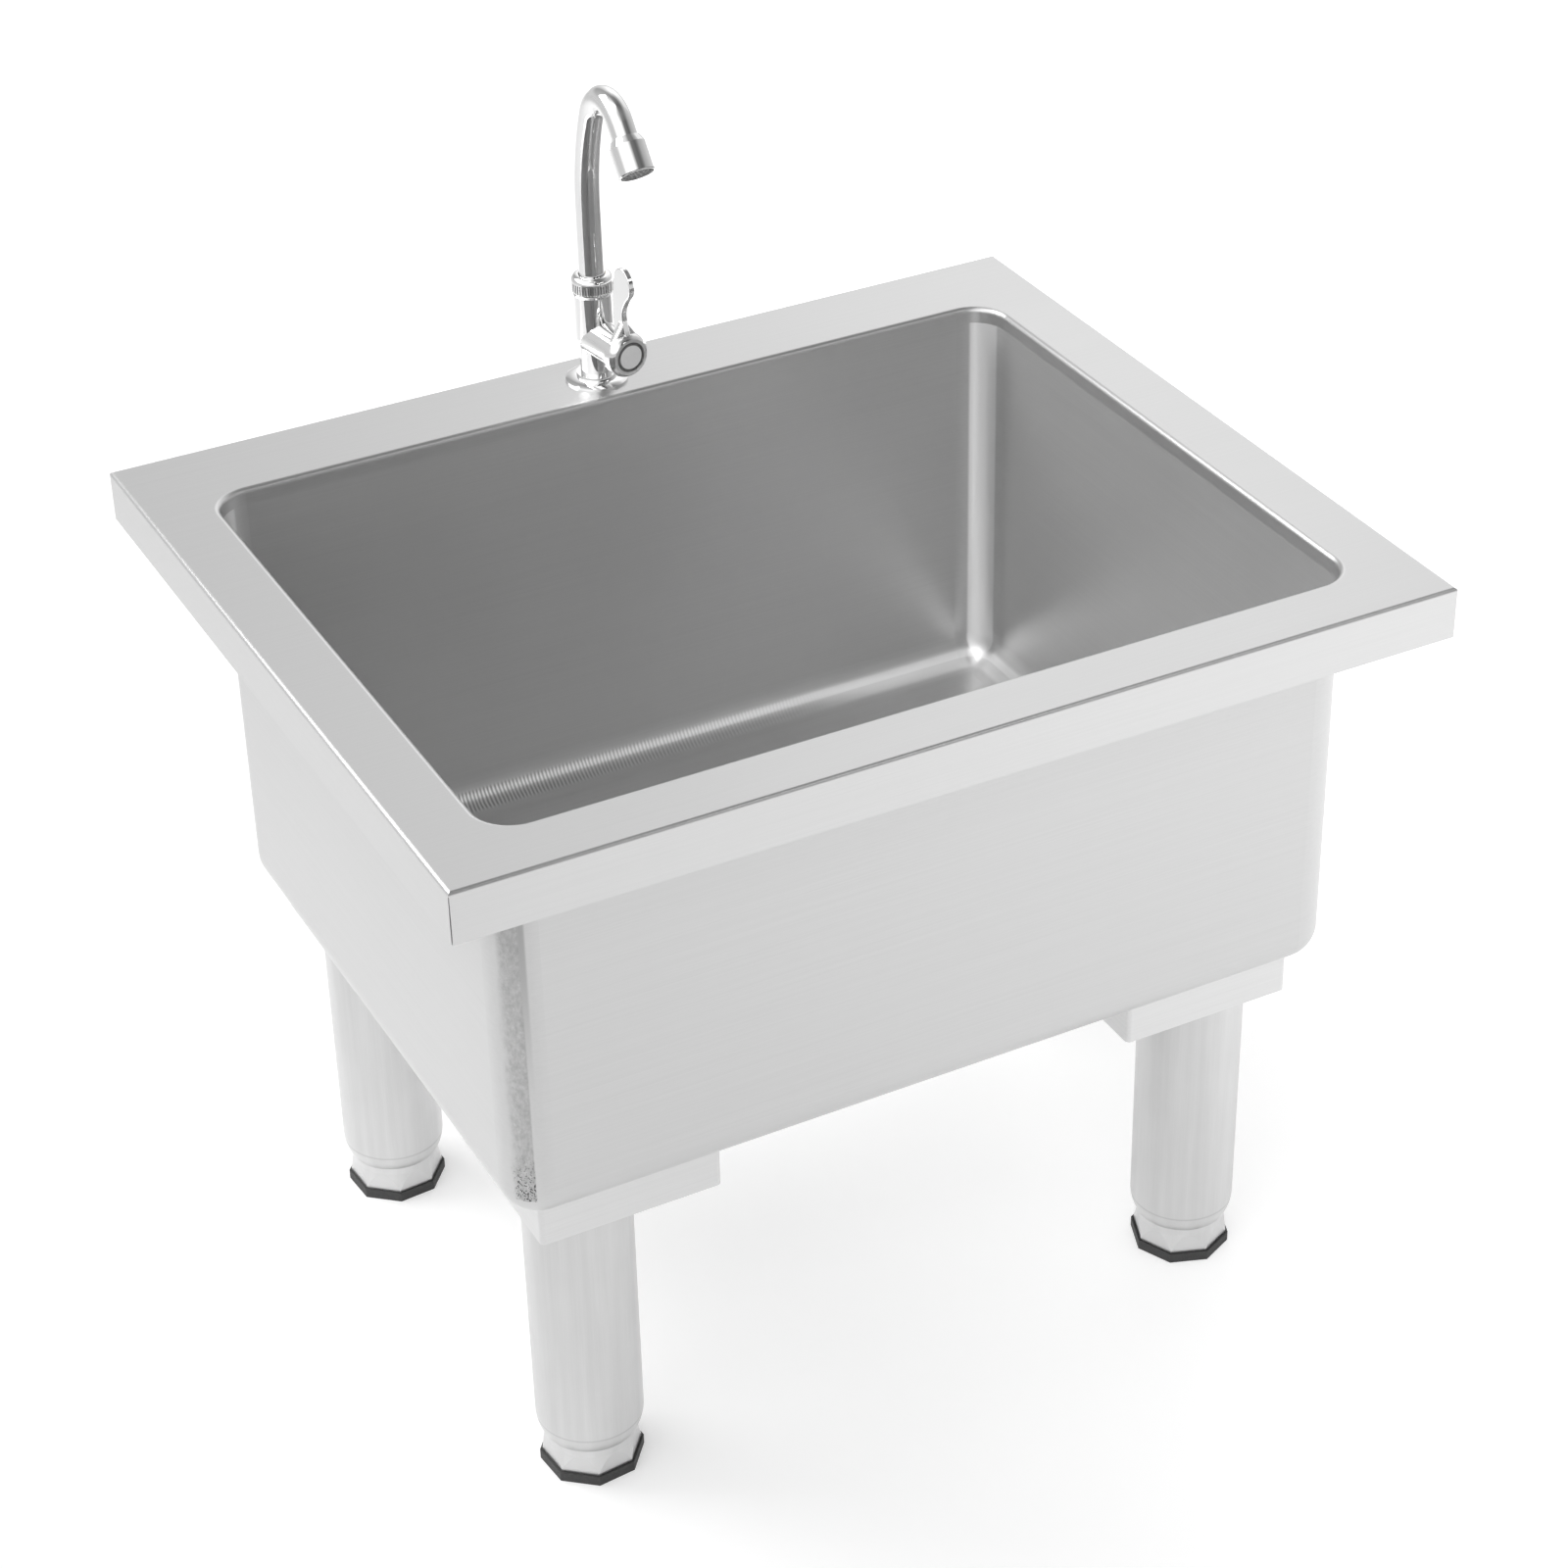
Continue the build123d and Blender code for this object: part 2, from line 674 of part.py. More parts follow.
with BuildPart() as tail_nut:
    with BuildSketch(Plane.XY.offset(tail_flange_under - tail_nut_lip)):
        with Locations((0, bowl_y)):
            Circle(tail_nut_radius)
            with PolarLocations(tail_nut_radius, tail_nut_ribs):
                Circle(tail_nut_rib_radius)
    extrude(amount=tail_nut_height)
    with BuildSketch(Plane.XY.offset(tail_flange_under)):
        with Locations((0, bowl_y)):
            Circle(strainer_outlet_radius + thread_fit)
    extrude(amount=tail_nut_height, mode=Mode.SUBTRACT)
    with BuildSketch(Plane.XY.offset(tail_flange_under - tail_nut_lip)):
        with Locations((0, bowl_y)):
            Circle(tail_radius + drain_fit)
    extrude(amount=tail_nut_lip, mode=Mode.SUBTRACT)
tail_nut.part.label = "tail_nut"
export_step(tail_nut.part, "parts/tail_nut.step")

# ------------------------------------------------------------------ tap: body and fixings
tap_side = Plane(origin=(tap_x, tap_y, rim_height), x_dir=(1, 0, 0), z_dir=(0, -1, 0))
tap_axis = Axis((tap_x, tap_y, 0), (0, 0, 1))
tap_deck = Plane(origin=(tap_x, tap_y, rim_height), x_dir=(1, 0, 0), z_dir=(0, 0, 1))
outward = (sin(radians(valve_turn)), -cos(radians(valve_turn)), 0)
across = (cos(radians(valve_turn)), sin(radians(valve_turn)), 0)
valve_centre = (tap_x, tap_y, rim_height + valve_height)
valve_plane = Plane(origin=valve_centre, x_dir=across, z_dir=outward)
valve_side = Plane(origin=valve_centre, x_dir=outward, z_dir=(-across[0], -across[1], 0))
valve_axis = Axis(valve_centre, outward)
shank_hole = shank_radius + spout_fit
socket_bore = spout_radius + spout_fit
collar_bore = spout_collar_radius + spout_fit
seal_seat = spout_collar_base - spout_seal_thickness
nut_shoulder = spout_nut_base + spout_knurl_height
collar_top = nut_shoulder - swivel_gap

with BuildPart() as tap_flange:
    with BuildSketch(tap_side):
        with BuildLine():
            Polyline(
                (flange_seat_radius, flange_height),
                (shank_hole, flange_height),
                (shank_hole, flange_gasket_thickness),
                (flange_gasket_radius, flange_gasket_thickness),
                (flange_gasket_radius, 0),
                (flange_radius, 0),
                (flange_radius, flange_edge),
            )
            TangentArc((flange_seat_radius, flange_height), (flange_radius, flange_edge), tangent=(1, 0))
        make_face()
    revolve(axis=tap_axis)
tap_flange.part.label = "tap_flange"
export_step(tap_flange.part, "parts/tap_flange.step")

with BuildPart() as tap_flange_gasket:
    with BuildSketch(tap_deck):
        Circle(flange_gasket_radius)
        Circle(shank_hole, mode=Mode.SUBTRACT)
    extrude(amount=flange_gasket_thickness)
tap_flange_gasket.part.label = "tap_flange_gasket"
export_step(tap_flange_gasket.part, "parts/tap_flange_gasket.step")

# body: shank, stem, socket for the spout, and the barrel of the valve
with BuildPart() as tap_body:
    with BuildSketch(tap_side):
        with BuildLine():
            Polyline(
                (stem_radius, shoulder_height),
                (stem_radius, flange_height + collar_height),
                (flange_seat_radius, flange_height + collar_height),
                (flange_seat_radius, flange_height),
                (shank_radius, flange_height),
                (shank_radius, -shank_groove_drop),
                (shank_groove_radius, -shank_groove_drop),
                (shank_groove_radius, -shank_groove_drop - shank_groove_width),
                (shank_radius, -shank_groove_drop - shank_groove_width),
                (shank_radius, -shank_length),
                (0, -shank_length),
                (0, neck_height),
                (neck_radius, neck_height),
                (neck_radius, body_height),
                (body_radius - body_edge, body_height),
                (body_radius, body_height - body_edge),
                (body_radius, valve_height),
            )
            TangentArc((body_radius, valve_height), (stem_radius, shoulder_height), tangent=(0, -1))
        make_face()
    revolve(axis=tap_axis)
    with BuildSketch(valve_plane):
        Circle(barrel_radius)
    extrude(amount=barrel_length)
    with BuildSketch(tap_deck.offset(-shank_length)):
        Circle(waterway_radius)
    extrude(amount=shank_length + seal_seat, mode=Mode.SUBTRACT)
    with BuildSketch(tap_deck.offset(spout_foot - spout_end_gap)):
        Circle(socket_bore)
    extrude(amount=neck_height, mode=Mode.SUBTRACT)
    with BuildSketch(tap_deck.offset(seal_seat)):
        Circle(collar_bore)
    extrude(amount=neck_height, mode=Mode.SUBTRACT)
    with BuildSketch(valve_plane.offset(barrel_length - chamber_depth)):
        Circle(chamber_radius)
    extrude(amount=chamber_depth, mode=Mode.SUBTRACT)
tap_body.part.label = "tap_body"
export_step(tap_body.part, "parts/tap_body.step")

# under the deck: rubber washer, steel washer and nut
rubber_washer_base = -sheet - rubber_washer_thickness
steel_washer_base = rubber_washer_base - steel_washer_thickness
lock_nut_base = steel_washer_base - lock_nut_height

with BuildPart() as tap_rubber_washer:
    with BuildSketch(tap_deck.offset(rubber_washer_base)):
        Circle(deck_washer_radius)
        Circle(shank_hole, mode=Mode.SUBTRACT)
    extrude(amount=rubber_washer_thickness)
tap_rubber_washer.part.label = "tap_rubber_washer"
export_step(tap_rubber_washer.part, "parts/tap_rubber_washer.step")

with BuildPart() as tap_steel_washer:
    with BuildSketch(tap_deck.offset(steel_washer_base)):
        Circle(deck_washer_radius)
        Circle(shank_hole, mode=Mode.SUBTRACT)
    extrude(amount=steel_washer_thickness)
tap_steel_washer.part.label = "tap_steel_washer"
export_step(tap_steel_washer.part, "parts/tap_steel_washer.step")

with BuildPart() as tap_lock_nut:
    with BuildSketch(tap_deck.offset(lock_nut_base)):
        RegularPolygon(lock_nut_across_flats / 2, 6, major_radius=False)
        Circle(shank_radius + thread_fit, mode=Mode.SUBTRACT)
    extrude(amount=lock_nut_height)
tap_lock_nut.part.label = "tap_lock_nut"
export_step(tap_lock_nut.part, "parts/tap_lock_nut.step")

# ------------------------------------------------------------------ tap: swivelling spout
spout_plane = Plane(origin=(tap_x, tap_y, rim_height), x_dir=(0, -1, 0), z_dir=(-1, 0, 0))
sweep_turn = radians(spout_sweep_angle)
sweep_end = (
    spout_sweep_radius * (1 - cos(sweep_turn)),
    spout_rise + spout_sweep_radius * sin(sweep_turn),
)
crook_centre = (
    sweep_end[0] + spout_crook_radius * cos(sweep_turn),
    sweep_end[1] - spout_crook_radius * sin(sweep_turn),
)
tilt = radians(spout_tilt)
crook_end = (
    crook_centre[0] + spout_crook_radius * cos(tilt),
    crook_centre[1] + spout_crook_radius * sin(tilt),
)
spout_end = (crook_end[0] + spout_tail * sin(tilt), crook_end[1] - spout_tail * cos(tilt))

with BuildPart() as spout_seal:
    with BuildSketch(tap_deck.offset(seal_seat)):
        Circle(spout_collar_radius)
        Circle(socket_bore, mode=Mode.SUBTRACT)
    extrude(amount=spout_seal_thickness)
spout_seal.part.label = "spout_seal"
export_step(spout_seal.part, "parts/spout_seal.step")

with BuildPart() as spout_collar:
    with BuildSketch(tap_deck.offset(spout_collar_base)):
        Circle(spout_collar_radius)
        Circle(spout_radius, mode=Mode.SUBTRACT)
    extrude(amount=collar_top - spout_collar_base)
spout_collar.part.label = "spout_collar"
export_step(spout_collar.part, "parts/spout_collar.step")

# knurled nut that holds the spout's collar down and lets it turn
with BuildPart() as spout_nut:
    with BuildSketch(tap_side):
        with BuildLine():
            Polyline(
                (spout_nut_radius, nut_shoulder),
                (spout_nut_radius, spout_nut_base),
                (neck_radius + thread_fit, spout_nut_base),
                (neck_radius + thread_fit, nut_shoulder),
                (socket_bore, nut_shoulder),
                (socket_bore, nut_shoulder + spout_nut_dome),
                (socket_bore + spout_nut_lip, nut_shoulder + spout_nut_dome),
            )
            TangentArc(
                (spout_nut_radius, nut_shoulder),
                (socket_bore + spout_nut_lip, nut_shoulder + spout_nut_dome),
                tangent=(0, 1),
            )
        make_face()
    revolve(axis=tap_axis)
    with BuildSketch(tap_deck.offset(spout_nut_base + knurl_margin)):
        with PolarLocations(spout_nut_radius, knurl_count):
            RegularPolygon(knurl_depth, 4)
    extrude(amount=spout_knurl_height - 2 * knurl_margin, mode=Mode.SUBTRACT)
spout_nut.part.label = "spout_nut"
export_step(spout_nut.part, "parts/spout_nut.step")

with BuildPart() as spout_tube:
    with BuildLine(spout_plane) as spout_path:
        Line((0, spout_foot), (0, spout_rise))
        CenterArc((spout_sweep_radius, spout_rise), spout_sweep_radius, 180, -spout_sweep_angle)
        CenterArc(
            crook_centre,
            spout_crook_radius,
            180 - spout_sweep_angle,
            spout_sweep_angle + spout_tilt - 180,
        )
        Line(crook_end, spout_end)
    with BuildSketch(tap_deck.offset(spout_foot)):
        Circle(spout_radius)
        Circle(spout_radius - spout_wall, mode=Mode.SUBTRACT)
    sweep(path=spout_path.wires()[0])
spout_tube.part.label = "spout_tube"
export_step(spout_tube.part, "parts/spout_tube.step")

# ------------------------------------------------------------------ tap: aerator
mouth_centre = (tap_x, tap_y - spout_end[0], rim_height + spout_end[1])
mouth_way = (0, -sin(tilt), -cos(tilt))
mouth_side = Plane(origin=mouth_centre, x_dir=mouth_way, z_dir=(-1, 0, 0))
mouth_plane = Plane(origin=mouth_centre, x_dir=(1, 0, 0), z_dir=mouth_way)
mouth_axis = Axis(mouth_centre, mouth_way)
mouth_rim = aerator_length - aerator_seat
insert_start = mouth_rim - aerator_recess - aerator_insert_length

with BuildPart() as aerator_housing:
    with BuildSketch(mouth_side):
        with BuildLine():
            Polyline(
                (-aerator_seat, spout_radius + aerator_fit / 2),
                (-aerator_seat, aerator_shoulder_radius),
                (-aerator_seat + aerator_shoulder, aerator_radius),
                (mouth_rim - aerator_edge, aerator_radius),
                (mouth_rim, aerator_radius - aerator_edge),
                (mouth_rim, aerator_bore),
                (aerator_step, aerator_bore),
                (aerator_step, aerator_waterway),
                (0, aerator_waterway),
                (0, spout_radius + aerator_fit / 2),
                close=True,
            )
        make_face()
    revolve(axis=mouth_axis)
aerator_housing.part.label = "aerator_housing"
export_step(aerator_housing.part, "parts/aerator_housing.step")

with BuildPart() as aerator_washer:
    with BuildSketch(mouth_plane.offset(aerator_step)):
        Circle(aerator_bore - aerator_fit)
        Circle(aerator_waterway, mode=Mode.SUBTRACT)
    extrude(amount=insert_start - aerator_step)
aerator_washer.part.label = "aerator_washer"
export_step(aerator_washer.part, "parts/aerator_washer.step")

with BuildPart() as aerator_insert:
    with BuildSketch(mouth_plane.offset(insert_start)):
        Circle(aerator_bore - aerator_fit)
    extrude(amount=aerator_insert_length)
    with BuildSketch(mouth_plane.offset(mouth_rim - aerator_recess - aerator_hole_depth)):
        RegularPolygon(aerator_hole_radius, 6)
        for ring_radius, hole_count in aerator_rings.items():
            with PolarLocations(ring_radius, hole_count):
                RegularPolygon(aerator_hole_radius, 6)
    extrude(amount=aerator_hole_depth, mode=Mode.SUBTRACT)
aerator_insert.part.label = "aerator_insert"
export_step(aerator_insert.part, "parts/aerator_insert.step")

# ------------------------------------------------------------------ tap: quarter-turn valve
cartridge_start = barrel_length - chamber_depth + cartridge_fit
cartridge_end = barrel_length + cartridge_collar_length
spindle_start = cartridge_start + cartridge_fit
spindle_step = spindle_start + spindle_root_length
hub_back = barrel_length + hub_gap
cap_floor = hub_face - cap_recess
screw_floor = cap_floor - handle_screw_head - cap_fit
spindle_end = screw_floor - hub_web - cap_fit

with BuildPart() as valve_cartridge:
    with BuildSketch(valve_side):
        with BuildLine():
            Polyline(
                (cartridge_start, spindle_root_radius + spindle_fit),
                (cartridge_start, chamber_radius - cartridge_fit),
                (barrel_length, chamber_radius - cartridge_fit),
                (barrel_length, cartridge_collar_radius),
                (cartridge_end, cartridge_collar_radius),
                (cartridge_end, spindle_radius + spindle_fit),
                (spindle_step + cartridge_fit, spindle_radius + spindle_fit),
                (spindle_step + cartridge_fit, spindle_root_radius + spindle_fit),
                close=True,
            )
        make_face()
    revolve(axis=valve_axis)
    with BuildSketch(tap_deck.offset(valve_height - chamber_radius)):
        Circle(cartridge_port_radius)
    extrude(amount=2 * chamber_radius, mode=Mode.SUBTRACT)
valve_cartridge.part.label = "valve_cartridge"
export_step(valve_cartridge.part, "parts/valve_cartridge.step")

# spindle: its cross bore lies level while the lever points up, and stands in line when open
with BuildPart() as valve_spindle:
    with BuildSketch(valve_side):
        with BuildLine():
            Polyline(
                (spindle_start, 0),
                (spindle_start, spindle_root_radius),
                (spindle_step, spindle_root_radius),
                (spindle_step, spindle_radius),
                (spindle_end, spindle_radius),
                (spindle_end, 0),
                close=True,
            )
        make_face()
    revolve(axis=valve_axis)
    with BuildSketch(valve_plane.offset(spindle_end - spindle_spline_length)):
        with PolarLocations(spindle_radius, spindle_splines):
            RegularPolygon(spindle_spline_depth, 4)
    extrude(amount=spindle_spline_length, mode=Mode.SUBTRACT)
    with BuildSketch(Plane(origin=valve_centre, x_dir=(0, 0, 1), z_dir=across)):
        Circle(spindle_port_radius)
    extrude(amount=2 * spindle_root_radius, both=True, mode=Mode.SUBTRACT)
    with BuildSketch(valve_plane.offset(screw_floor - handle_screw_length)):
        Circle(handle_screw_radius + thread_fit)
    extrude(amount=handle_screw_length, mode=Mode.SUBTRACT)
valve_spindle.part.label = "valve_spindle"
export_step(valve_spindle.part, "parts/valve_spindle.step")

# ------------------------------------------------------------------ tap: lever
# drop-shaped root that joins the hub to the foot of the upright lever
with BuildPart() as lever_root:
    with BuildSketch(valve_plane.offset(hub_back + hub_flare)):
        Circle(hub_radius - lever_root_step)
        with Locations((0, lever_root_height)):
            Circle(lever_root_radius)
        make_hull()
    extrude(amount=lever_root_length)
    fillet(lever_root.faces().sort_by(valve_axis)[-1].edges(), radius=lever_root_round)

with BuildPart() as tap_handle:
    with BuildSketch(valve_side):
        with BuildLine():
            outline = [(hub_face + out, up) for out, up in lever_outline]
            edge = Line(outline[0], outline[1])
            for start, end in zip(outline[1:], outline[2:]):
                edge = TangentArc(start, end, tangent=edge % 1)
            Polyline(outline[-1], (outline[-1][0], chamber_radius), (hub_back, chamber_radius))
            Polyline((hub_back, chamber_radius), (hub_back, outline[0][1]), outline[0])
        make_face()
    extrude(amount=lever_thickness / 2, both=True)
    fillet(tap_handle.edges().filter_by(GeomType.CIRCLE), radius=lever_round)
    add(lever_root.part)
    with BuildSketch(valve_side):
        with BuildLine():
            Polyline(
                (hub_face - hub_round, hub_radius),
                (hub_back + hub_flare, hub_radius),
                (hub_back, hub_back_radius),
                (hub_back, 0),
                (hub_face, 0),
                (hub_face, hub_front_radius),
            )
            TangentArc(
                (hub_face - hub_round, hub_radius),
                (hub_face, hub_front_radius),
                tangent=(1, 0),
            )
        make_face()
    revolve(axis=valve_axis)
    # the seats of the valve's collar, the spindle, the screw and the cap
    with BuildSketch(valve_side):
        with BuildLine():
            Polyline(
                (hub_back, 0),
                (hub_back, cartridge_collar_radius + hub_clearance),
                (cartridge_end + hub_clearance, cartridge_collar_radius + hub_clearance),
                (cartridge_end + hub_clearance, spindle_radius + spindle_fit),
                (spindle_end + cap_fit, spindle_radius + spindle_fit),
                (spindle_end + cap_fit, handle_screw_radius + cap_fit),
                (screw_floor, handle_screw_radius + cap_fit),
                (screw_floor, handle_screw_head_radius + hub_clearance),
                (cap_floor, handle_screw_head_radius + hub_clearance),
                (cap_floor, cap_radius),
                (hub_face, cap_radius),
                (hub_face, 0),
                close=True,
            )
        make_face()
    revolve(axis=valve_axis, mode=Mode.SUBTRACT)
tap_handle.part.label = "tap_handle"
export_step(tap_handle.part, "parts/tap_handle.step")

with BuildPart() as handle_screw:
    with BuildSketch(valve_plane.offset(screw_floor - handle_screw_length)):
        Circle(handle_screw_radius)
    extrude(amount=handle_screw_length)
    with BuildSketch(valve_plane.offset(screw_floor)):
        Circle(handle_screw_head_radius)
    extrude(amount=handle_screw_head)
    with BuildSketch(valve_plane.offset(screw_floor + handle_screw_head / 2)):
        RegularPolygon(handle_screw_hex / 2, 6, major_radius=False)
    extrude(amount=handle_screw_head / 2, mode=Mode.SUBTRACT)
handle_screw.part.label = "handle_screw"
export_step(handle_screw.part, "parts/handle_screw.step")

with BuildPart() as index_cap:
    with BuildSketch(valve_plane.offset(cap_floor)):
        Circle(cap_radius - cap_fit)
    extrude(amount=cap_recess)
    chamfer(index_cap.faces().sort_by(valve_axis)[-1].edges(), length=cap_edge)
index_cap.part.label = "index_cap"
export_step(index_cap.part, "parts/index_cap.step")
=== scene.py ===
import json
import math

import bpy
from mathutils import Matrix, Vector


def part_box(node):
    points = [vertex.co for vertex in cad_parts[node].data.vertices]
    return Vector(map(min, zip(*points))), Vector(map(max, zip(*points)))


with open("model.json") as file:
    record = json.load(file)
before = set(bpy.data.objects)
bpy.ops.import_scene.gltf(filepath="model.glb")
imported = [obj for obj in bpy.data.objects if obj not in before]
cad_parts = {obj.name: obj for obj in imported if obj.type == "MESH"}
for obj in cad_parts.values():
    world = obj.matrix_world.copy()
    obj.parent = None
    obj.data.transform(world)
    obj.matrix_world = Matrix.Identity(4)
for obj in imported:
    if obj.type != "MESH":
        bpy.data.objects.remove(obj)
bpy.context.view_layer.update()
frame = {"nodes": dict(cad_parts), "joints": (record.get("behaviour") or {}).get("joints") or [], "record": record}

# A stainless steel utility sink with a lever tap. Metres, +X to the right, +Y to the back, +Z up.
# The object's shapes all come from the frame. This script adds the camera, finishes, floor and light.
nodes = frame["nodes"]
scene = bpy.context.scene
scene.view_settings.view_transform = "Standard"

# ------------------------------------------------------------------ camera
# Solved from the straight edges of the rim: place, turn and focal length.
camera_place = (-0.81818, -1.62705, 1.48726)
azimuth, elevation, roll = -0.47148, 0.57302, -0.02345
focal_pixels = 3738.73
photo_pixels = 1600
sensor_width = 36

back = Vector((
    math.sin(azimuth) * math.cos(elevation),
    -math.cos(azimuth) * math.cos(elevation),
    math.sin(elevation),
))
right = Vector((math.cos(azimuth), math.sin(azimuth), 0))
up = back.cross(right)
right_rolled = math.cos(roll) * right + math.sin(roll) * up
up_rolled = -math.sin(roll) * right + math.cos(roll) * up

camera_data = bpy.data.cameras.new("camera")
camera_data.sensor_width = sensor_width
camera_data.lens = focal_pixels / photo_pixels * sensor_width
camera_data.clip_start = 0.05
camera_data.clip_end = 50
camera = bpy.data.objects.new("camera", camera_data)
scene.collection.objects.link(camera)
turn = Matrix((right_rolled, up_rolled, back)).transposed().to_4x4()
camera.matrix_world = Matrix.Translation(camera_place) @ turn
scene.camera = camera


# ------------------------------------------------------------------ node helpers
def grey(level):
    return (level, level, level, 1)


class NodeTree:
    """The nodes of a material or of the world, built with short calls."""

    # the Mix node's two inputs and its output, by the kind of data that it mixes
    mix_sockets = {"FLOAT": (2, 3, 0), "VECTOR": (4, 5, 1), "RGBA": (6, 7, 2)}

    def __init__(self, tree):
        self.tree = tree

    def add(self, kind, **settings):
        node = self.tree.nodes.new(kind)
        for key, value in settings.items():
            setattr(node, key, value)
        return node

    def feed(self, socket, value):
        """Link a socket to another node's output, or set it to a plain value."""
        if isinstance(value, bpy.types.NodeSocket):
            self.tree.links.new(value, socket)
        else:
            socket.default_value = value

    def math(self, operation, a, b=0.0, c=0.0):
        node = self.add("ShaderNodeMath", operation=operation)
        for socket, value in zip(node.inputs, (a, b, c)):
            self.feed(socket, value)
        return node.outputs[0]

    def product(self, *factors):
        result = factors[0]
        for factor in factors[1:]:
            result = self.math("MULTIPLY", result, factor)
        return result

    def axes(self, place):
        node = self.add("ShaderNodeSeparateXYZ")
        self.feed(node.inputs[0], place)
        return node.outputs

    def mix(self, low, high, factor, data_type="FLOAT"):
        """A value between two others."""
        node = self.add("ShaderNodeMix", data_type=data_type)
        low_socket, high_socket, output = self.mix_sockets[data_type]
        self.feed(node.inputs["Factor"], factor)
        self.feed(node.inputs[low_socket], low)
        self.feed(node.inputs[high_socket], high)
        return node.outputs[output]

    def ramp(self, value, stops):
        """A brightness that follows stops of (value, brightness)."""
        node = self.add("ShaderNodeValToRGB")
        self.feed(node.inputs["Fac"], value)
        marks = node.color_ramp.elements
        while len(marks) < len(stops):
            marks.new(0.5)
        for mark, (place, level) in zip(marks, stops):
            mark.position = place
            mark.color = grey(level)
        return node.outputs["Color"]


class Shader(NodeTree):
    """One material on the Principled shader, with the place and the facing of each point."""

    # most of a noise lies between these
    noise_low, noise_high = 0.3, 0.7

    def __init__(self, name):
        self.material = bpy.data.materials.new(name)
        self.material.use_nodes = True
        super().__init__(self.material.node_tree)
        self.bsdf = self.tree.nodes["Principled BSDF"]
        where = self.add("ShaderNodeTexCoord")
        self.place = where.outputs["Object"]
        self.facing = self.axes(where.outputs["Normal"])

    def put(self, name, value):
        self.feed(self.bsdf.inputs[name], value)

    def scaled(self, factors):
        node = self.add("ShaderNodeVectorMath", operation="MULTIPLY")
        self.feed(node.inputs[0], self.place)
        node.inputs[1].default_value = factors
        return node.outputs[0]

    def vector(self, x, y, z):
        node = self.add("ShaderNodeCombineXYZ")
        for socket, value in zip(node.inputs, (x, y, z)):
            self.feed(socket, value)
        return node.outputs[0]

    def colour(self, level):
        """The grey of one brightness."""
        node = self.add("ShaderNodeCombineColor")
        for socket in node.inputs:
            self.feed(socket, level)
        return node.outputs[0]

    def noise(self, place, scale=1.0, detail=3.0, roughness=0.55):
        node = self.add("ShaderNodeTexNoise")
        self.feed(node.inputs["Vector"], place)
        node.inputs["Scale"].default_value = scale
        node.inputs["Detail"].default_value = detail
        node.inputs["Roughness"].default_value = roughness
        return node.outputs["Fac"]

    def spread(self, value, low, high, to_low=0.0, to_high=1.0, smooth=False):
        """Stretch the range low to high on to another, and hold its ends beyond."""
        node = self.add("ShaderNodeMapRange", interpolation_type="SMOOTHSTEP" if smooth else "LINEAR")
        self.feed(node.inputs["Value"], value)
        node.inputs["From Min"].default_value = low
        node.inputs["From Max"].default_value = high
        node.inputs["To Min"].default_value = to_low
        node.inputs["To Max"].default_value = to_high
        return node.outputs["Result"]

    def rise(self, value, low, high):
        """From 0 to 1, softly, as the value goes from low to high."""
        return self.spread(value, low, high, smooth=True)

    def fall(self, value, low, high):
        """From 1 to 0, softly, as the value goes from low to high."""
        return self.spread(value, low, high, 1.0, 0.0, smooth=True)

    def vary(self, noise, low, high):
        """A number between low and high that follows a noise."""
        return self.spread(noise, self.noise_low, self.noise_high, low, high)

    def bump(self, height, distance):
        node = self.add("ShaderNodeBump")
        node.inputs["Distance"].default_value = distance
        self.feed(node.inputs["Height"], height)
        self.put("Normal", node.outputs["Normal"])


# ------------------------------------------------------------------ steel
# how far the roughness strays to each side of its middle
rough_spread = 0.04


def brushed(name, low, high, rough, stretch=0.7, length=7.0, pitch=1100.0):
    """Sheet steel with a drawn grain: along X, but along Y on walls that face X."""
    fine_share, broad_share, cloud_share = 0.50, 0.14, 0.36
    broad_scale = 0.14
    cloud_scale = 6.0
    s = Shader(name)
    faces_x = s.math("GREATER_THAN", s.math("ABSOLUTE", s.facing[0]), 0.7)
    along_x = s.scaled((length, pitch, pitch))
    along_y = s.scaled((pitch, length, pitch))
    lines = s.mix(along_x, along_y, faces_x, "VECTOR")
    fine = s.noise(lines, 1.0, 3.0, 0.6)
    broad = s.noise(lines, broad_scale, 2.0)
    cloud = s.noise(s.place, cloud_scale, 3.0)
    clouds = s.math("MULTIPLY_ADD", broad, broad_share, s.product(cloud, cloud_share))
    grain = s.math("MULTIPLY_ADD", fine, fine_share, clouds)
    s.tone = s.vary(grain, low, high)
    s.dull = s.vary(grain, rough - rough_spread, rough + rough_spread)
    s.height = grain
    s.depth = 0.000012
    s.put("Metallic", 1.0)
    s.put("Anisotropic", stretch)
    # the line that the gloss is stretched by: upright, and along Y on level faces
    s.put("Tangent", s.vector(0.0, 0.02, 1.0))
    return s


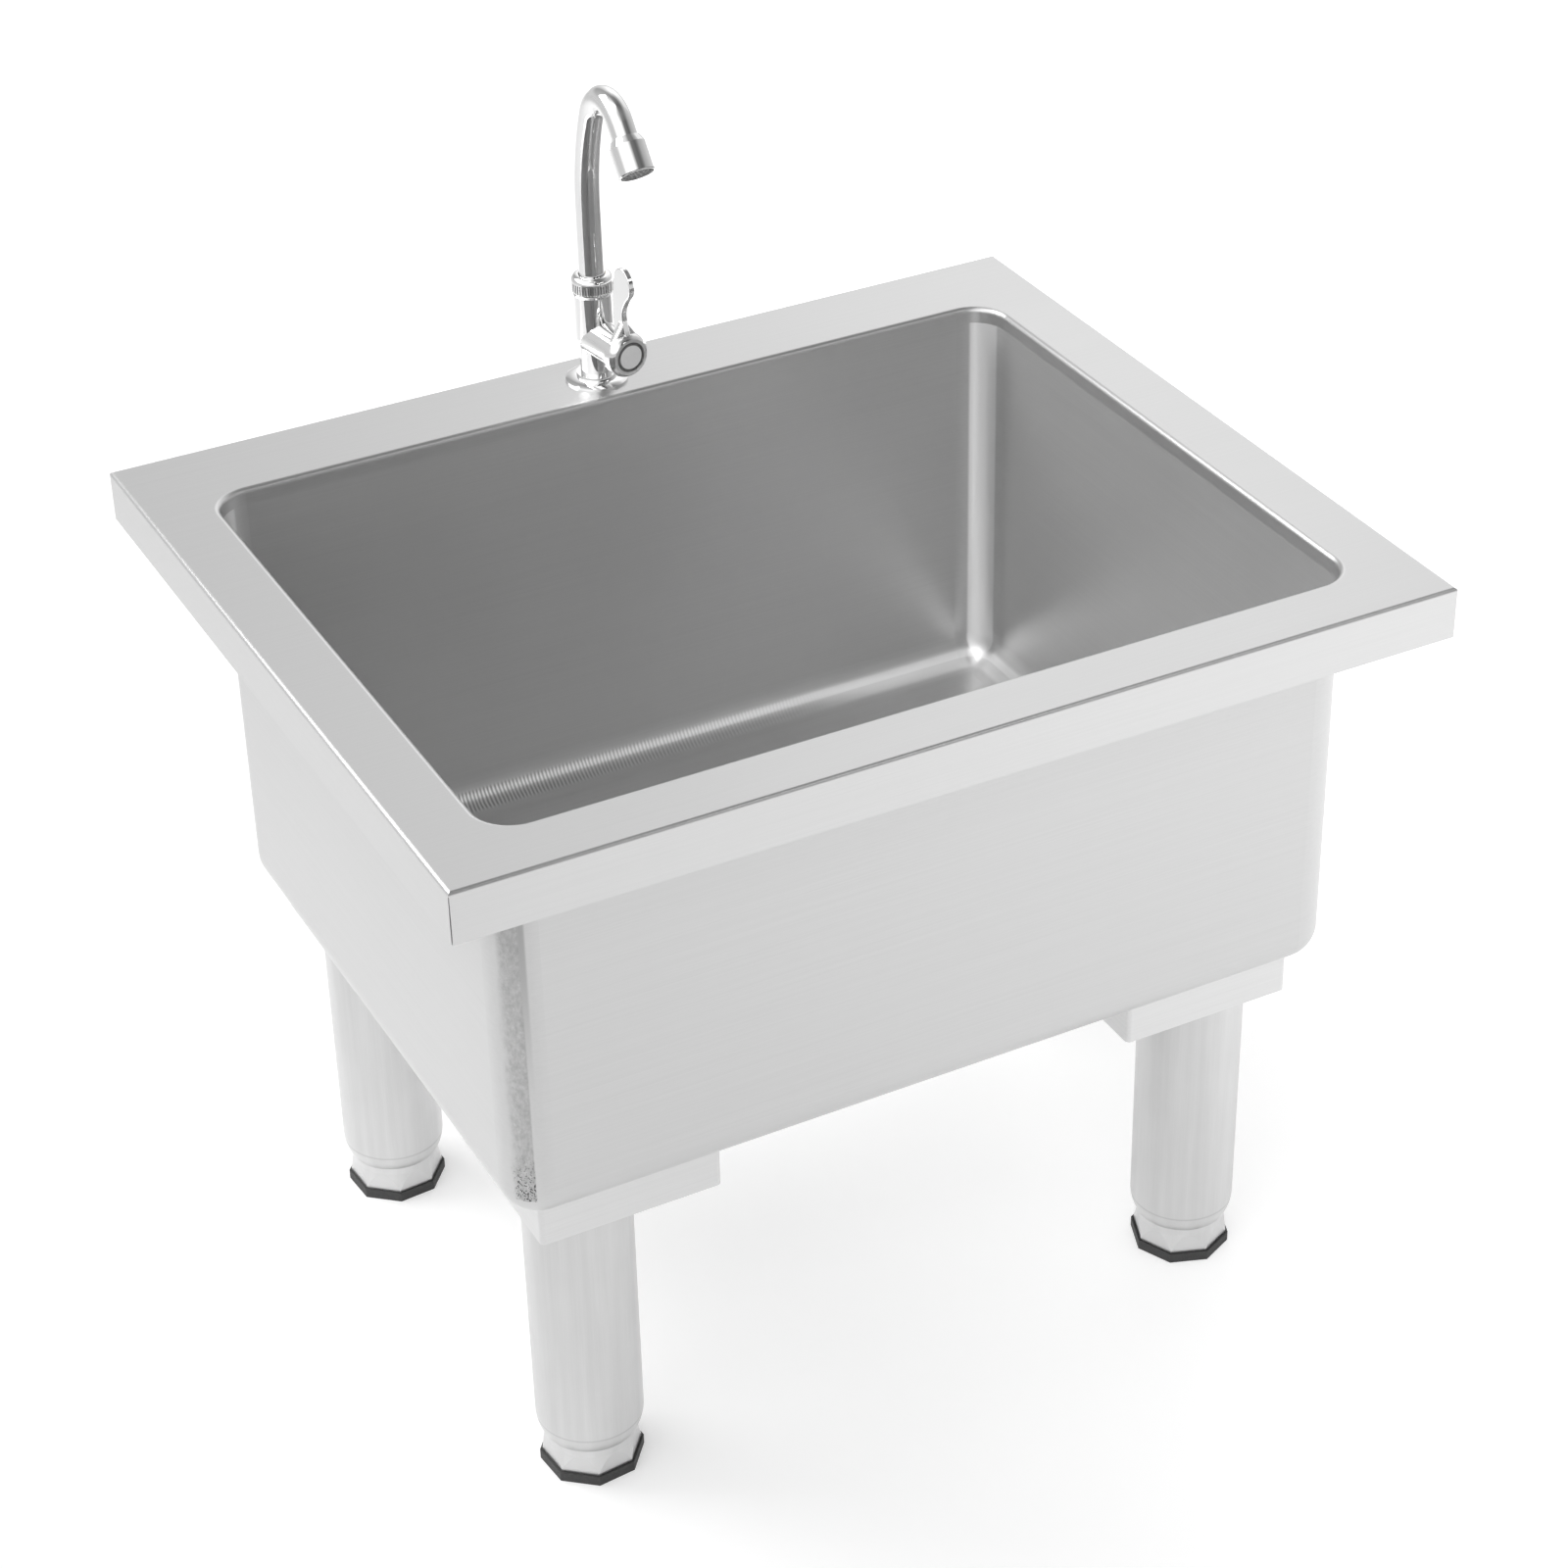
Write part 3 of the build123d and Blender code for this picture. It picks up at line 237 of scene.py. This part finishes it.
def drawn_tube(name, low, high, rough):
    """Drawn tube: soft upright bands with fine upright lines."""
    band_share, line_share = 0.75, 0.25
    band_scale, line_scale = 2.6, 60.0
    band_wander, line_wander = 1.2, 0.5
    s = Shader(name)
    height = s.axes(s.place)[2]
    band_place = s.vector(s.facing[0], s.facing[1], s.product(height, band_wander))
    line_place = s.vector(s.facing[0], s.facing[1], s.product(height, line_wander))
    bands = s.noise(band_place, band_scale, 2.0)
    lines = s.noise(line_place, line_scale, 2.0)
    grain = s.math("MULTIPLY_ADD", bands, band_share, s.product(lines, line_share))
    s.tone = s.spread(grain, 0.35, 0.65, low, high)
    s.dull = s.vary(s.noise(s.place, 40.0), rough - rough_spread, rough + rough_spread)
    s.height = lines
    s.depth = 0.000008
    s.put("Metallic", 1.0)
    s.put("Anisotropic", 0.4)
    s.put("Tangent", s.vector(0.0, 0.0, 1.0))
    return s


def close_steel(s):
    """Join the tone, dullness and relief of a steel to its shader."""
    s.put("Base Color", s.colour(s.tone))
    s.put("Roughness", s.dull)
    s.bump(s.height, s.depth)
    return s


# ------------------------------------------------------------------ the bowl's own finish
sheet = 0.0012
bowl_corner = 0.022
bowl_low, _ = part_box("bowl")


def looks_inward(s):
    """1 on the walls inside the bowl and on level faces, 0 on its outer walls."""
    x, y, _ = s.axes(s.place)
    outward = s.math("MULTIPLY_ADD", y, s.facing[1], s.product(x, s.facing[0]))
    return s.math("LESS_THAN", outward, 0.02)


def add_corner_weld(s):
    """Dress the weld of the front left corner: ragged grit, a dark line beside it and pits at its foot."""
    grit_tone = (0.43, 0.61)
    grit_rough = 0.6
    grit_relief = 12.0
    line_tone = 0.44
    pit_tone = 0.06
    # where each fades in or out: radians round the corner from the left wall, and heights
    weld_starts, weld_ends = (0.56, 0.84), (1.07, 1.12)
    line_starts, line_ends = (1.05, 1.12), (1.19, 1.26)
    line_foot = (0.30, 0.42)
    pits_top = (0.252, 0.275)
    x, y, z = s.axes(s.place)
    off_x = s.math("SUBTRACT", x, bowl_low.x + sheet + bowl_corner)
    off_y = s.math("SUBTRACT", y, bowl_low.y + sheet + bowl_corner)
    turned = s.math("ARCTAN2", s.product(off_y, -1.0), s.product(off_x, -1.0))
    radius = s.math("SQRT", s.math("MULTIPLY_ADD", off_x, off_x, s.product(off_y, off_y)))
    outer_face = s.math("GREATER_THAN", radius, bowl_corner + sheet / 2)

    grit = s.noise(s.scaled((420.0, 420.0, 260.0)), 1.0, 4.0, 0.7)
    ragged = s.math("MULTIPLY_ADD", s.noise(s.scaled((160.0, 160.0, 90.0))), 0.2, turned)
    dressed = s.product(s.rise(ragged, *weld_starts), s.fall(turned, *weld_ends), outer_face)
    beside = s.product(s.rise(turned, *line_starts), s.fall(turned, *line_ends))
    line = s.product(beside, outer_face, s.rise(z, *line_foot))
    spots = s.spread(s.noise(s.place, 900.0, 1.0), 0.56, 0.62)
    pits = s.product(spots, dressed, s.spread(z, *pits_top, 1.0, 0.0))

    s.tone = s.mix(s.tone, s.vary(grit, *grit_tone), dressed)
    s.tone = s.mix(s.tone, line_tone, line)
    s.tone = s.mix(s.tone, pit_tone, pits)
    s.dull = s.mix(s.dull, grit_rough, dressed)
    s.height = s.mix(s.height, s.product(grit, grit_relief), dressed)


def add_ground_coves_and_painted_highlights(s, inside):
    """Brighten the coves inside, partly as ground steel and partly as a painted highlight, and grind the rear one
    with fine teeth that grow towards the left.
    """
    # the coves' brighter tone: ground steel, and partly a painted highlight
    ground_and_highlight_tone = 0.93
    ground_rough = 0.31
    band_share = 0.55
    tooth_tone = 0.35
    tooth_relief = 2.0
    tooth_pitch = 0.0025
    tooth_wander = 5.0
    # where each fades in and out, by how much a face looks along an axis
    upright_x, upright_y = (0.34, 0.44), (0.28, 0.38)
    ridge_starts, ridge_ends = (0.44, 0.56), (0.70, 0.78)
    band_starts, band_ends = (0.40, 0.54), (0.90, 0.97)
    # where the teeth fade in: Y, and X towards the left
    teeth_y, teeth_x = (0.16, 0.17), (0.14, -0.10)
    x, y, _ = s.axes(s.place)
    face_x = s.math("ABSOLUTE", s.facing[0])
    face_y = s.math("ABSOLUTE", s.facing[1])
    face_z = s.facing[2]
    upright_cove = s.product(s.rise(face_x, *upright_x), s.rise(face_y, *upright_y), inside)
    ridge = s.product(s.rise(face_z, *ridge_starts), s.fall(face_z, *ridge_ends), inside)
    band = s.product(s.rise(face_z, *band_starts), s.fall(face_z, *band_ends), inside)
    ground = s.math("MAXIMUM", s.math("MAXIMUM", upright_cove, ridge), s.product(band, band_share))

    wander = s.product(s.noise(s.place, 60.0, 2.0), tooth_wander)
    wave = s.math("SINE", s.math("MULTIPLY_ADD", x, 2 * math.pi / tooth_pitch, wander))
    rear_left = s.product(s.spread(y, *teeth_y), s.spread(x, *teeth_x))
    teeth = s.product(s.math("MULTIPLY_ADD", wave, 0.5, 0.5), rear_left, band)

    # painted highlight: the coves are made brighter in colour where they catch the light, as well as ground
    s.tone = s.mix(s.tone, ground_and_highlight_tone, ground)
    s.tone = s.mix(s.tone, tooth_tone, teeth)
    s.dull = s.mix(s.dull, ground_rough, band)
    s.height = s.math("MULTIPLY_ADD", teeth, tooth_relief, s.height)


def bowl_finish():
    """The rim's sheet, a little duller, with its weld and its ground coves, which also carry a painted highlight.
    """
    s = brushed("bowl_steel", 0.61, 0.67, 0.40)
    inside = looks_inward(s)
    add_corner_weld(s)
    add_ground_coves_and_painted_highlights(s, inside)
    s.put("Metallic", s.mix(0.95, 0.9, inside))
    return close_steel(s)


def leg_finish():
    """Drawn tube with a faint ring of painted shade where its lower end starts to roll in."""
    shade_ring_height = 0.0352
    shade_ring_half_width = 0.0011
    painted_dark_ring_tone = 0.42
    shade_ring_strength = 0.55
    s = drawn_tube("tube_steel", 0.59, 0.66, 0.36)
    off_shade_ring = s.math("ABSOLUTE", s.math("SUBTRACT", s.axes(s.place)[2], shade_ring_height))
    painted_dark_ring = s.spread(off_shade_ring, 0.0, shade_ring_half_width, shade_ring_strength, 0.0, smooth=True)
    # painted shade: a faint dark ring where the tube starts to roll in
    s.tone = s.mix(s.tone, painted_dark_ring_tone, painted_dark_ring)
    return close_steel(s)


# ------------------------------------------------------------------ the tap's finishes
valve = next(joint for joint in frame["joints"] if joint["name"] == "lever_turn")


def from_valve_axis(s):
    """How far a point is from the axis that the lever turns on."""
    away = s.add("ShaderNodeVectorMath", operation="SUBTRACT")
    s.feed(away.inputs[0], s.place)
    away.inputs[1].default_value = valve["pos_m"]
    across = s.add("ShaderNodeVectorMath", operation="CROSS_PRODUCT")
    s.feed(across.inputs[0], away.outputs[0])
    across.inputs[1].default_value = valve["axis"]
    length = s.add("ShaderNodeVectorMath", operation="LENGTH")
    s.feed(length.inputs[0], across.outputs[0])
    return length.outputs["Value"]


def along_valve_axis(s):
    """How much a face looks along that axis: 1 on the hub's end, 0 on its side."""
    along = s.add("ShaderNodeVectorMath", operation="DOT_PRODUCT")
    s.feed(along.inputs[0], s.vector(*s.facing))
    along.inputs[1].default_value = valve["axis"]
    return along.outputs["Value"]


def polished(name):
    """Chrome plate, faintly uneven."""
    s = Shader(name)
    s.tone = s.mix(0.80, 0.86, s.noise(s.place, 60.0))
    s.put("Metallic", 1.0)
    s.put("Roughness", s.vary(s.noise(s.place, 300.0), 0.04, 0.08))
    return s


def chrome_finish():
    s = polished("chrome_plate")
    s.put("Base Color", s.colour(s.tone))
    return s


def hub_finish():
    """Chrome whose end has a dark ring about the index cap: a painted reflection of the dark bowl."""
    painted_dark_ring_tone = 0.22
    reflection_ring_edge = (0.0093, 0.0096)
    s = polished("hub_chrome")
    near_cap = s.fall(from_valve_axis(s), *reflection_ring_edge)
    painted_dark_ring = s.product(near_cap, s.math("GREATER_THAN", along_valve_axis(s), 0.9))
    # painted reflection: the hub's end darkened about the index cap
    s.put("Base Color", s.colour(s.mix(s.tone, painted_dark_ring_tone, painted_dark_ring)))
    return s


def index_finish():
    """The bare index cap: a pale disc with a dark edge."""
    edge_tone = 0.16
    disc_edge = (0.0073, 0.0077)
    s = Shader("index_plastic")
    disc = s.mix(0.80, 0.88, s.noise(s.place, 500.0))
    edge = s.spread(from_valve_axis(s), *disc_edge)
    s.put("Base Color", s.colour(s.mix(disc, edge_tone, edge)))
    s.put("Roughness", 0.3)
    return s


# ------------------------------------------------------------------ rubber, plastics and brass
def rubber_finish():
    s = Shader("black_rubber")
    s.put("Base Color", s.mix(grey(0.022), grey(0.05), s.noise(s.place, 400.0), "RGBA"))
    s.put("Roughness", s.vary(s.noise(s.place, 900.0), 0.55, 0.75))
    s.bump(s.noise(s.place, 1500.0), 0.00008)
    return s


def pale_plastic_finish():
    s = Shader("pale_plastic")
    s.put("Base Color", s.mix(grey(0.66), grey(0.74), s.noise(s.place, 200.0), "RGBA"))
    s.put("Roughness", 0.45)
    s.bump(s.noise(s.place, 1200.0), 0.00004)
    return s


def grey_plastic_finish():
    s = Shader("grey_plastic")
    s.put("Base Color", s.mix(grey(0.2), grey(0.3), s.noise(s.place, 500.0), "RGBA"))
    s.put("Roughness", 0.4)
    return s


def brass_finish():
    dark_brass = (0.62, 0.46, 0.24, 1)
    light_brass = (0.74, 0.58, 0.32, 1)
    s = Shader("machined_brass")
    s.put("Metallic", 1.0)
    s.put("Base Color", s.mix(dark_brass, light_brass, s.noise(s.place, 300.0), "RGBA"))
    s.put("Roughness", s.vary(s.noise(s.place, 600.0), 0.22, 0.34))
    return s


# ------------------------------------------------------------------ which node gets which finish
def paint(name, shader):
    mesh = nodes[name].data
    mesh.materials.clear()
    mesh.materials.append(shader.material)


finish_of_slot = {
    "bowl_steel": close_steel(brushed("rim_steel", 0.61, 0.67, 0.36, stretch=0.55)),
    "bracket_steel": close_steel(brushed("bracket_steel", 0.66, 0.73, 0.34, pitch=700.0)),
    "plain_steel": close_steel(brushed("plain_steel", 0.55, 0.66, 0.30, pitch=500.0, length=40.0)),
    "leg_steel": leg_finish(),
    "foot_steel": close_steel(drawn_tube("foot_steel", 0.62, 0.68, 0.34)),
    "chrome": chrome_finish(),
    "index_plastic": index_finish(),
    "black_rubber": rubber_finish(),
    "white_plastic": pale_plastic_finish(),
    "grey_plastic": grey_plastic_finish(),
    "brass": brass_finish(),
}
for part in frame["record"]["subparts"]:
    paint(part["node"], finish_of_slot[part["material_slot"]])
paint("bowl", bowl_finish())
paint("tap_handle", hub_finish())

# ------------------------------------------------------------------ floor
floor_reach = 14.0
glow_from, glow_to = -0.75, 0.75
glow_left, glow_right = 0.16, 0.78

floor_mesh = bpy.data.meshes.new("floor")
corners = [
    (-floor_reach, -floor_reach, 0),
    (floor_reach, -floor_reach, 0),
    (floor_reach, floor_reach, 0),
    (-floor_reach, floor_reach, 0),
]
floor_mesh.from_pydata(corners, [], [(0, 1, 2, 3)])
floor = bpy.data.objects.new("floor", floor_mesh)
scene.collection.objects.link(floor)
ground = Shader("pale_floor")
ground.put("Base Color", ground.mix(grey(0.67), grey(0.70), ground.noise(ground.place, 2.0), "RGBA"))
ground.put("Roughness", 0.9)
# the floor glows, more to the right, so that it shows white all over
floor_x = ground.axes(ground.place)[0]
ground.put("Emission Color", (1, 1, 1, 1))
ground.put("Emission Strength", ground.spread(floor_x, glow_from, glow_to, glow_left, glow_right))
floor_mesh.materials.append(ground.material)

# ------------------------------------------------------------------ world
# Brightness by direction. On the ramps 0 and 1 are the back, 0.25 the left, 0.5 the front, 0.75 the right.
soft_boxes = [
    (0.00, 0.40), (0.08, 0.55), (0.17, 0.90), (0.27, 1.50), (0.35, 2.00), (0.43, 1.50), (0.49, 0.06),
    (0.60, 0.06), (0.68, 0.45), (0.84, 0.85), (0.92, 1.40), (0.96, 0.90), (1.00, 0.45),
]
ceiling = [(0.00, 0.30), (0.25, 1.80), (0.40, 0.70), (0.50, 0.30), (0.75, 0.15), (1.00, 0.30)]
horizon = grey(0.7)
# how high a direction points, as the sine of its elevation, where each of the upper two sets in
boxes_set_in = [(0.00, 0.0), (0.12, 0.0), (0.30, 1.0)]
ceiling_sets_in = [(0.00, 0.0), (0.65, 0.0), (0.90, 1.0)]

world = bpy.data.worlds.new("studio")
scene.world = world
world.use_nodes = True
sky = NodeTree(world.node_tree)
toward_x, toward_y, toward_z = sky.axes(sky.add("ShaderNodeTexCoord").outputs["Generated"])
angle = sky.math("ARCTAN2", toward_x, sky.product(toward_y, -1.0))
heading = sky.math("MULTIPLY_ADD", angle, 1 / (2 * math.pi), 0.5)
lower = sky.mix(horizon, sky.ramp(heading, soft_boxes), sky.ramp(toward_z, boxes_set_in), "RGBA")
whole = sky.mix(lower, sky.ramp(heading, ceiling), sky.ramp(toward_z, ceiling_sets_in), "RGBA")
background = sky.tree.nodes["Background"]
sky.feed(background.inputs["Color"], whole)
sky.feed(background.inputs["Strength"], 1.0)


# ------------------------------------------------------------------ lamps
def lamp(name, place, aim, width, height, power):
    """A rectangular area lamp at one place, aimed at another."""
    data = bpy.data.lights.new(name, "AREA")
    data.shape = "RECTANGLE"
    data.size = width
    data.size_y = height
    data.energy = power
    item = bpy.data.objects.new(name, data)
    scene.collection.objects.link(item)
    item.location = place
    item.rotation_euler = (Vector(aim) - Vector(place)).to_track_quat("-Z", "Y").to_euler()


lamp("right_box", place=(1.65, 1.3, 1.6), aim=(0.2, 0, 0.45), width=1.5, height=1.3, power=1.0)
lamp("left_box", place=(-1.0, 0.9, 1.7), aim=(0.26, 0, 0.35), width=1.2, height=1.0, power=20)
lamp("strip_box", place=(0.65, -1.0, 1.43), aim=(0.65, 0.18, 0.24), width=1.1, height=0.3, power=1.9)
